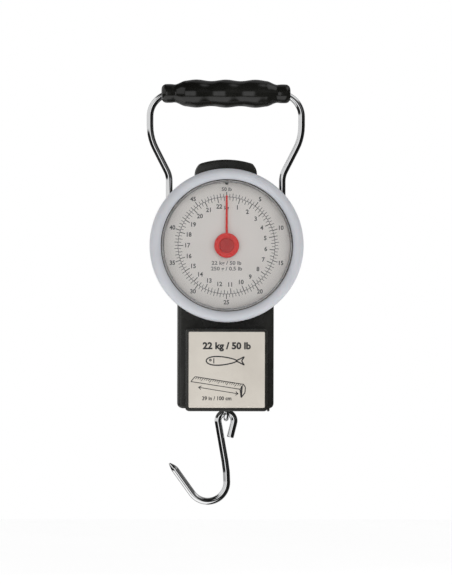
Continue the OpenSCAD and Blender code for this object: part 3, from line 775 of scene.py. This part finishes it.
CASE_X = high("tape_case_front").x / MM
CASE_LO = low("tape_case_front").z / MM
CASE_HI = high("tape_case_front").z / MM
CASE_FRONT = low("tape_case_front").y / MM
CASE_SPLIT = -12.0
CASE_WALL = 1.2
SPOOL_Z = (high("tape_spool").z + low("tape_spool").z) / 2 / MM
BLADE_Z = (high("tape_blade").z + low("tape_blade").z) / 2 / MM


def tape_slot():
    lo, hi = low("tape_blade") / MM, high("tape_blade") / MM
    return box_mesh("slot", (CASE_X - 3, lo.y - 0.3, BLADE_Z - 0.6), (CASE_X + 2, hi.y + 0.3, BLADE_Z + 0.8))


def case_outline():
    return round_rect(-CASE_X, CASE_LO, CASE_X, CASE_HI, 2.0)


def build_tape_case():
    back = PLATE_Y / MM
    layers = [(CASE_WALL, back - CASE_WALL), (CASE_WALL, CASE_SPLIT), (0.15, CASE_SPLIT),
              (0, CASE_SPLIT + 0.15), (0, back - 0.2), (0.2, back)]
    mesh = loft_mesh("case_back", layered(case_outline(), layers))
    for x, z in CASE_SCREWS:
        mesh = boolean(mesh, rod_mesh("boss", (x, back - 1, DC + z), (x, CASE_SPLIT, DC + z), 2.6), "UNION")
    cutters = [rod_mesh("hole", (x, back + 1, DC + z), (x, CASE_SPLIT - 1, DC + z), 1.25)
               for x, z in CASE_SCREWS]
    cutters += [rod_mesh("axle", (0, back - 0.4, SPOOL_Z), (0, CASE_SPLIT, SPOOL_Z), 1.52), tape_slot()]
    place("tape_case_rear_half", cut_all(mesh, cutters), "black", "housing", "housing_black",
          "tape_case_back")

    front = CASE_FRONT
    layers = [(CASE_WALL, front + CASE_WALL), (CASE_WALL, CASE_SPLIT), (0.15, CASE_SPLIT),
              (0, CASE_SPLIT - 0.15)]
    layers += fillet(0, front, 0.9, -1)
    mesh = loft_mesh("case_front", layered(case_outline(), layers))
    lo, hi = low("label_plate") / MM, high("label_plate") / MM
    recess = loft_mesh("recess", layered(round_rect(lo.x - 0.1, lo.z - 0.1, hi.x + 0.1, hi.z + 0.1, 0.8, 4),
                                         [(0, hi.y), (0, front - 1)]))
    for x, z in CASE_SCREWS:
        mesh = boolean(mesh, rod_mesh("boss", (x, CASE_SPLIT, DC + z), (x, front + 1, DC + z), 2.6), "UNION")
    axle = rod_mesh("axle", (0, CASE_SPLIT, SPOOL_Z), (0, front + 0.7, SPOOL_Z), 1.52)
    cutters = [recess, tape_slot(), axle]
    cutters += [rod_mesh("pilot", (x, CASE_SPLIT + 1, DC + z), (x, -16, DC + z), 1.12)
                for x, z in CASE_SCREWS]
    place("tape_case_front_half", cut_all(mesh, cutters), "black", "housing", "housing_black",
          "tape_case_front")


def build_label():
    lo, hi = low("label_plate") / MM, high("label_plate") / MM
    layers = [(0, hi.y)] + fillet(0, lo.y, 0.12, -1, 3)
    outline = round_rect(lo.x, lo.z, hi.x, hi.z, 0.7, 4)
    place("label_card", loft_mesh("label_card", layered(outline, layers)), "label", "housing", "label_cream",
          "label_plate")


def build_label_print():
    """Plain printing: capacity, a fish outline and a drawing of the tape with its length."""
    face = -low("label_plate").y
    x0, z0 = low("label_plate").x, low("label_plate").z
    w = high("label_plate").x - x0
    h = high("label_plate").z - z0

    def at(u, v):
        return (x0 + u * w, z0 + v * h)

    bm = bmesh.new()
    x, z = at(0.5, 0.812)
    print_text(bm, "22 kg / 50 lb", 5.5 * MM, x, z, face, 0.24 * MM, 1.04)
    # a fish outline, nose to the left
    fish = []
    for k in range(33):
        t = 2 * math.pi * k / 32
        fish.append((0.43 + 0.20 * math.cos(t), 0.618 + 0.055 * math.sin(t) * (1 - 0.35 * math.cos(t))))
    fish_line = [at(*p) for p in fish]
    for p, q in zip(fish_line, fish_line[1:]):
        bar(bm, p, q, 0.75 * MM, face)
    tail = [at(0.62, 0.618), at(0.73, 0.672), at(0.695, 0.618), at(0.73, 0.564), at(0.62, 0.618)]
    for p, q in zip(tail, tail[1:]):
        bar(bm, p, q, 0.75 * MM, face)
    bar(bm, at(0.33, 0.585), at(0.33, 0.651), 0.6 * MM, face)
    hoop(bm, *at(0.285, 0.628), 0.5 * MM, 0.55 * MM, face, 24)
    # the tape: a slanted strip with marks and a bent end
    strip = [at(0.03, 0.345), at(0.085, 0.41), at(0.72, 0.31), at(0.675, 0.245)]
    for p, q in zip(strip, strip[1:] + strip[:1]):
        bar(bm, p, q, 0.45 * MM, face)
    for k in range(1, 23):
        s = k / 23
        top = Vector(strip[1]).lerp(Vector(strip[2]), s)
        down = (Vector(strip[0]) - Vector(strip[1])) * (0.62 if k % 4 == 0 else 0.4)
        bar(bm, top, top + down, 0.36 * MM, face)
    hook = [at(0.72, 0.31), at(0.745, 0.27), at(0.74, 0.2), at(0.69, 0.135), at(0.675, 0.245)]
    for p, q in zip(hook, hook[1:]):
        bar(bm, p, q, 0.6 * MM, face)
    bar(bm, at(0.70, 0.29), at(0.69, 0.15), 1.0 * MM, face)
    a, b = Vector(at(0.13, 0.27)), Vector(at(0.65, 0.185))
    bar(bm, a, b, 0.42 * MM, face)
    for tip, way in ((a, (b - a).normalized()), (b, (a - b).normalized())):
        side = Vector((-way.y, way.x))
        for s in (-1, 1):
            bar(bm, tip, tip + way * 1.6 * MM + side * s * 1.1 * MM, 0.42 * MM, face)
    x, z = at(0.37, 0.122)
    print_text(bm, "39 in / 100 cm", 3.2 * MM, x, z, face, 0.09 * MM, 0.95)
    place("label_print", to_mesh("label_print", bm), "ink", "housing", "label_cream")


def build_tape():
    lo, hi = low("tape_blade") / MM, high("tape_blade") / MM
    rings = []
    for k in range(41):
        x = lo.x + (hi.x - lo.x) * k / 40
        ring = []
        for s in range(9):
            u = s / 8
            ring.append((x, lo.y + (hi.y - lo.y) * u, lo.z + 0.05 + 0.3 * (2 * u - 1) ** 2 * 0.3))
        top = [(p[0], p[1], p[2] + 0.18) for p in reversed(ring)]
        rings.append([tuple(c * MM for c in p) for p in ring + top])
    blade = place("measuring_blade", loft_mesh("measuring_blade", rings), "tape", None, None, sharp=60)
    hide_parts("tape_blade")
    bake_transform(blade)

    lo, hi = low("tape_tab") / MM, high("tape_tab") / MM
    foot = lo.z
    x0 = hi.x - 1.2
    plate = loft_mesh("tab", [[(x * MM, y * MM, z * MM) for y, z in
                               inset(round_rect(lo.y, foot, hi.y, foot + 3.8, 0.7, 4), d)]
                              for d, x in ((0.2, x0), (0, x0 + 0.2), (0, hi.x - 0.3), (0.3, hi.x))])
    top = BLADE_Z + 0.22
    tongue = box_mesh("tongue", (lo.x, lo.y + 0.6, top), (x0 + 0.4, hi.y - 0.6, top + 0.35))
    place("tape_end_tab", boolean(plate, tongue, "UNION"), "black", "tape_end", "tab_black", "tape_tab")


# ---------------------------------------------------------------- load rod and hook

EYE_R = (high("load_rod").y - low("load_rod").y) / 2 - ROD_R
EYE_Z = low("load_rod").z + ROD_R + EYE_R


def build_load_rod():
    """A rod bent into an eye that closes on itself under the rod."""
    top = high("load_rod").z
    r = ROD_R
    neck = EYE_Z + EYE_R
    points = [(0, top), (0, neck + 2.2 * MM)]
    points += [(EYE_R * math.sin(math.radians(a)) * min(1, a / 40), EYE_Z + EYE_R * math.cos(math.radians(a)))
               for a in range(20, 351, 10)]
    spots = [Vector(p) for p in points]
    spots = resample(spots, 0.8 * MM)
    dirs = [(b - a).normalized() for a, b in zip(spots, spots[1:])]
    tangents = [dirs[0]] + [(a + b).normalized() for a, b in zip(dirs, dirs[1:])] + [dirs[-1]]
    rings = []
    for p, t in zip(spots, tangents):
        side = Vector((t.y, -t.x))
        ring = []
        for k in range(20):
            a = 2 * math.pi * k / 20
            q = p + side * r * math.cos(a)
            ring.append((LOAD_X + r * math.sin(a), q.x, q.y))
        rings.append(ring)
    place("rod_with_eye", loft_mesh("rod_with_eye", rings), "chrome", "carriage", "chrome", "load_rod")


HOOK_EYE_R = 4.8
HOOK_BEND_R = 11.47
HOOK_LEAN = 10
HOOK_OPEN = 144.3
HOOK_END = 14


def build_hook():
    eye_x = LOAD_X / MM
    eye_z = (EYE_Z - EYE_R + ROD_R) / MM + 0.05 + HOOK_R / MM - HOOK_EYE_R
    end = math.radians(HOOK_END)
    start = (eye_x + HOOK_EYE_R * math.cos(end) - 9.2 * math.sin(end),
             eye_z - HOOK_EYE_R * math.sin(end) - 9.2 * math.cos(end))
    steps = [(9.2, 0), (-HOOK_END - 180 - HOOK_LEAN, HOOK_EYE_R), (24, 0), (HOOK_LEAN, 70), (0.3, 0),
             (HOOK_OPEN, HOOK_BEND_R), (17.5, 0)]
    points = resample(path(start, HOOK_END, steps), 0.9)
    wire = sweep("hook_wire", points, HOOK_R / MM, 32, (0.3, 0))
    # the point: a ground taper, flatter on the outside
    way = (points[-1] - points[-2]).normalized()
    side = Vector((way.y, -way.x))
    rings = []
    for k in range(13):
        t = k / 12
        r = HOOK_R / MM * (1 - t ** 1.5 * 0.8)
        centre = points[-1] + way * (5.2 * t - 0.02) - side * (HOOK_R / MM - r) * 0.35
        ring = []
        for s in range(32):
            a = 2 * math.pi * s / 32
            q = centre + side * r * math.cos(a)
            ring.append((q.x * MM, r * math.sin(a) * MM, q.y * MM))
        rings.append(ring)
    bm = bmesh.new()
    bm.from_mesh(wire)
    loft(bm, rings)
    place("weighing_hook", to_mesh("weighing_hook", bm), "chrome", "hook", "chrome", "hook")


# ---------------------------------------------------------------- inner pieces kept from CAD

KEPT = {
    "steel": ["chassis", "chassis_screws", "spring_anchor_rod", "rack_guide_pins", "housing_screws",
              "tape_case_screws", "tape_axle", "yoke", "lock_nut", "rack_rivets", "pointer_arbor",
              "tab_rivets"],
    "spring": ["handle_clips", "main_spring_left", "main_spring_right", "tape_return_spring"],
    "brass": ["movement_bridge", "spacer_posts", "rear_arbor_bush", "front_arbor_bush", "rack", "pinion"],
    "nylon": ["rod_guide"],
    "spool": ["tape_spool"],
    "tape": ["wound_tape"],
}


def dress_kept_nodes():
    for mat, nodes in KEPT.items():
        for node in nodes:
            obj = bpy.data.objects[node]
            if not obj.material_slots:
                obj.data.materials.append(MATS[mat])
            for material_slot in obj.material_slots:
                material_slot.material = MATS[mat]


# ---------------------------------------------------------------- scene


def look_from(azimuth, elevation, roll, distance, target):
    a, e = math.radians(azimuth), math.radians(elevation)
    back = Vector((math.sin(a) * math.cos(e), -math.cos(a) * math.cos(e), math.sin(e)))
    turn = back.to_track_quat("Z", "Y") @ Matrix.Rotation(math.radians(roll), 3, "Z").to_quaternion()
    return target + back * distance, turn


CAMERA = {"azimuth": -2.54, "elevation": -0.215, "roll": 0.128, "distance": 4.0,
          "target": (0.0001, -0.004, -0.11913), "lens": 411.1}


def build_camera():
    cam = bpy.data.cameras.new("camera")
    obj = bpy.data.objects.new("camera", cam)
    bpy.context.scene.collection.objects.link(obj)
    cam.sensor_fit = "VERTICAL"
    cam.sensor_height = 36
    cam.lens = CAMERA["lens"]
    spot, turn = look_from(CAMERA["azimuth"], CAMERA["elevation"], CAMERA["roll"], CAMERA["distance"],
                           Vector(CAMERA["target"]))
    obj.location = spot
    obj.rotation_mode = "QUATERNION"
    obj.rotation_quaternion = turn
    bpy.context.scene.camera = obj


def area_light(name, spot, target, size, power, color=(1, 1, 1)):
    data = bpy.data.lights.new(name, "AREA")
    data.shape = "RECTANGLE"
    data.size, data.size_y = size
    data.energy = power
    data.color = color
    obj = bpy.data.objects.new(name, data)
    bpy.context.scene.collection.objects.link(obj)
    obj.location = spot
    obj.visible_glossy = False
    obj.visible_transmission = False
    obj.rotation_euler = (Vector(target) - Vector(spot)).to_track_quat("-Z", "Y").to_euler()


def build_world():
    """Even soft light. Shiny surfaces mirror a studio: a tall softbox to the left, another high on
    the right, a narrow strip in front, white paper below and dark cloth between them."""
    world = bpy.data.worlds.new("studio")
    bpy.context.scene.world = world
    world.use_nodes = True
    tree = world.node_tree
    tree.nodes.clear()

    def op(kind, *values):
        node = tree.nodes.new("ShaderNodeMath")
        node.operation = kind
        for i, v in enumerate(values):
            if isinstance(v, (int, float)):
                node.inputs[i].default_value = v
            else:
                tree.links.new(v, node.inputs[i])
        return node.outputs[0]

    def step(value, at, soft):
        """0 below a value and 1 above it, in degrees, with a soft edge."""
        node = tree.nodes.new("ShaderNodeMapRange")
        node.interpolation_type = "SMOOTHSTEP"
        node.inputs["From Min"].default_value = at - soft
        node.inputs["From Max"].default_value = at + soft
        tree.links.new(value, node.inputs["Value"])
        return node.outputs["Result"]

    def patch(level, *edges):
        """A lit patch between soft edges, each (value, from, to, softness)."""
        out = level
        for value, lo, hi, soft in edges:
            inside = op("MULTIPLY", step(value, lo, soft), op("SUBTRACT", 1.0, step(value, hi, soft)))
            out = op("MULTIPLY", inside, out)
        return out

    coords = tree.nodes.new("ShaderNodeTexCoord")
    parts = tree.nodes.new("ShaderNodeSeparateXYZ")
    tree.links.new(coords.outputs["Generated"], parts.inputs["Vector"])
    across = op("MULTIPLY", op("ARCTAN2", parts.outputs["X"], op("MULTIPLY", parts.outputs["Y"], -1.0)),
                180 / math.pi)
    rise = op("MULTIPLY", op("ARCSINE", parts.outputs["Z"]), 180 / math.pi)
    level = 0.012
    for lit in (patch(0.74, (across, -150, -28, 5), (rise, -4, 48, 3)),
                patch(1.15, (across, -22, -3, 3), (rise, -20, 18, 4)),
                patch(1.05, (across, -125, 24, 8), (rise, -100, -29, 3)),
                patch(0.40, (across, -190, -125, 8), (rise, -100, -29, 3)),
                patch(0.30, (across, 128, 182, 8), (rise, -60, 80, 10)),
                patch(0.30, (across, -182, -165, 5), (rise, -60, 80, 10)),
                patch(0.85, (across, 38, 120, 8), (rise, 36, 74, 6)),
                patch(0.12, (across, 10, 60, 10), (rise, 8, 30, 8))):
        level = op("ADD", level, lit)
    ray = tree.nodes.new("ShaderNodeLightPath")
    soft = tree.nodes.new("ShaderNodeMix")
    through = ray.outputs["Is Transmission Ray"]
    tree.links.new(op("ADD", 0.42, op("MULTIPLY", through, 0.75)), soft.inputs["A"])
    mirrored = op("MULTIPLY", ray.outputs["Is Glossy Ray"], op("SUBTRACT", 1.0, through))
    tree.links.new(mirrored, soft.inputs["Factor"])
    tree.links.new(level, soft.inputs["B"])
    seen = tree.nodes.new("ShaderNodeMix")
    seen.inputs["B"].default_value = 1.0
    tree.links.new(ray.outputs["Is Camera Ray"], seen.inputs["Factor"])
    tree.links.new(soft.outputs["Result"], seen.inputs["A"])
    back = tree.nodes.new("ShaderNodeBackground")
    back.inputs["Color"].default_value = (1, 1, 1, 1)
    tree.links.new(seen.outputs["Result"], back.inputs["Strength"])
    out = tree.nodes.new("ShaderNodeOutputWorld")
    tree.links.new(back.outputs["Background"], out.inputs["Surface"])


def build_floor():
    depth = CAD_BOX[0][2] - 0.10
    size = 3.0
    bm = bmesh.new()
    for x in (-1, 1):
        for y in (-1, 1):
            bm.verts.new((x * size, y * size, depth))
    bm.verts.ensure_lookup_table()
    bm.faces.new([bm.verts[i] for i in (0, 2, 3, 1)])
    mesh = to_mesh("floor", bm)
    mat, tree, shader = material("floor_paper", (0.9, 0.9, 0.9), 0.9)
    shader.inputs["Emission Color"].default_value = (1, 1, 1, 1)
    shader.inputs["Emission Strength"].default_value = 0.6
    two_tone(tree, shader, object_noise(tree, 8), (0.90, 0.90, 0.90), (0.92, 0.92, 0.92))
    obj = bpy.data.objects.new("floor", mesh)
    mesh.materials.append(mat)
    bpy.context.scene.collection.objects.link(obj)
    obj.visible_glossy = False


bpy.context.scene.view_settings.view_transform = "Standard"
build_camera()
build_world()
build_floor()
middle = (0, -0.01, -0.12)
area_light("key", (-0.55, -0.75, -0.55), middle, (0.35, 0.35), 10.0)
area_light("fill", (0.15, -0.95, 0.45), middle, (0.8, 0.5), 2.6)
area_light("back_left", (-0.6, 0.8, 0.3), middle, (0.5, 0.5), 5.0)
area_light("back_right", (0.7, 0.7, 0.1), middle, (0.5, 0.5), 4.0)

wire_cutter = build_handle_wire()
build_grip(wire_cutter)
build_rear_housing()
build_front_housing()
build_ring()
build_lens()
build_dial_plate()
build_dial_print()
build_pointer()
build_tape_case()
build_label()
build_label_print()
build_tape()
build_load_rod()
build_hook()
dress_kept_nodes()
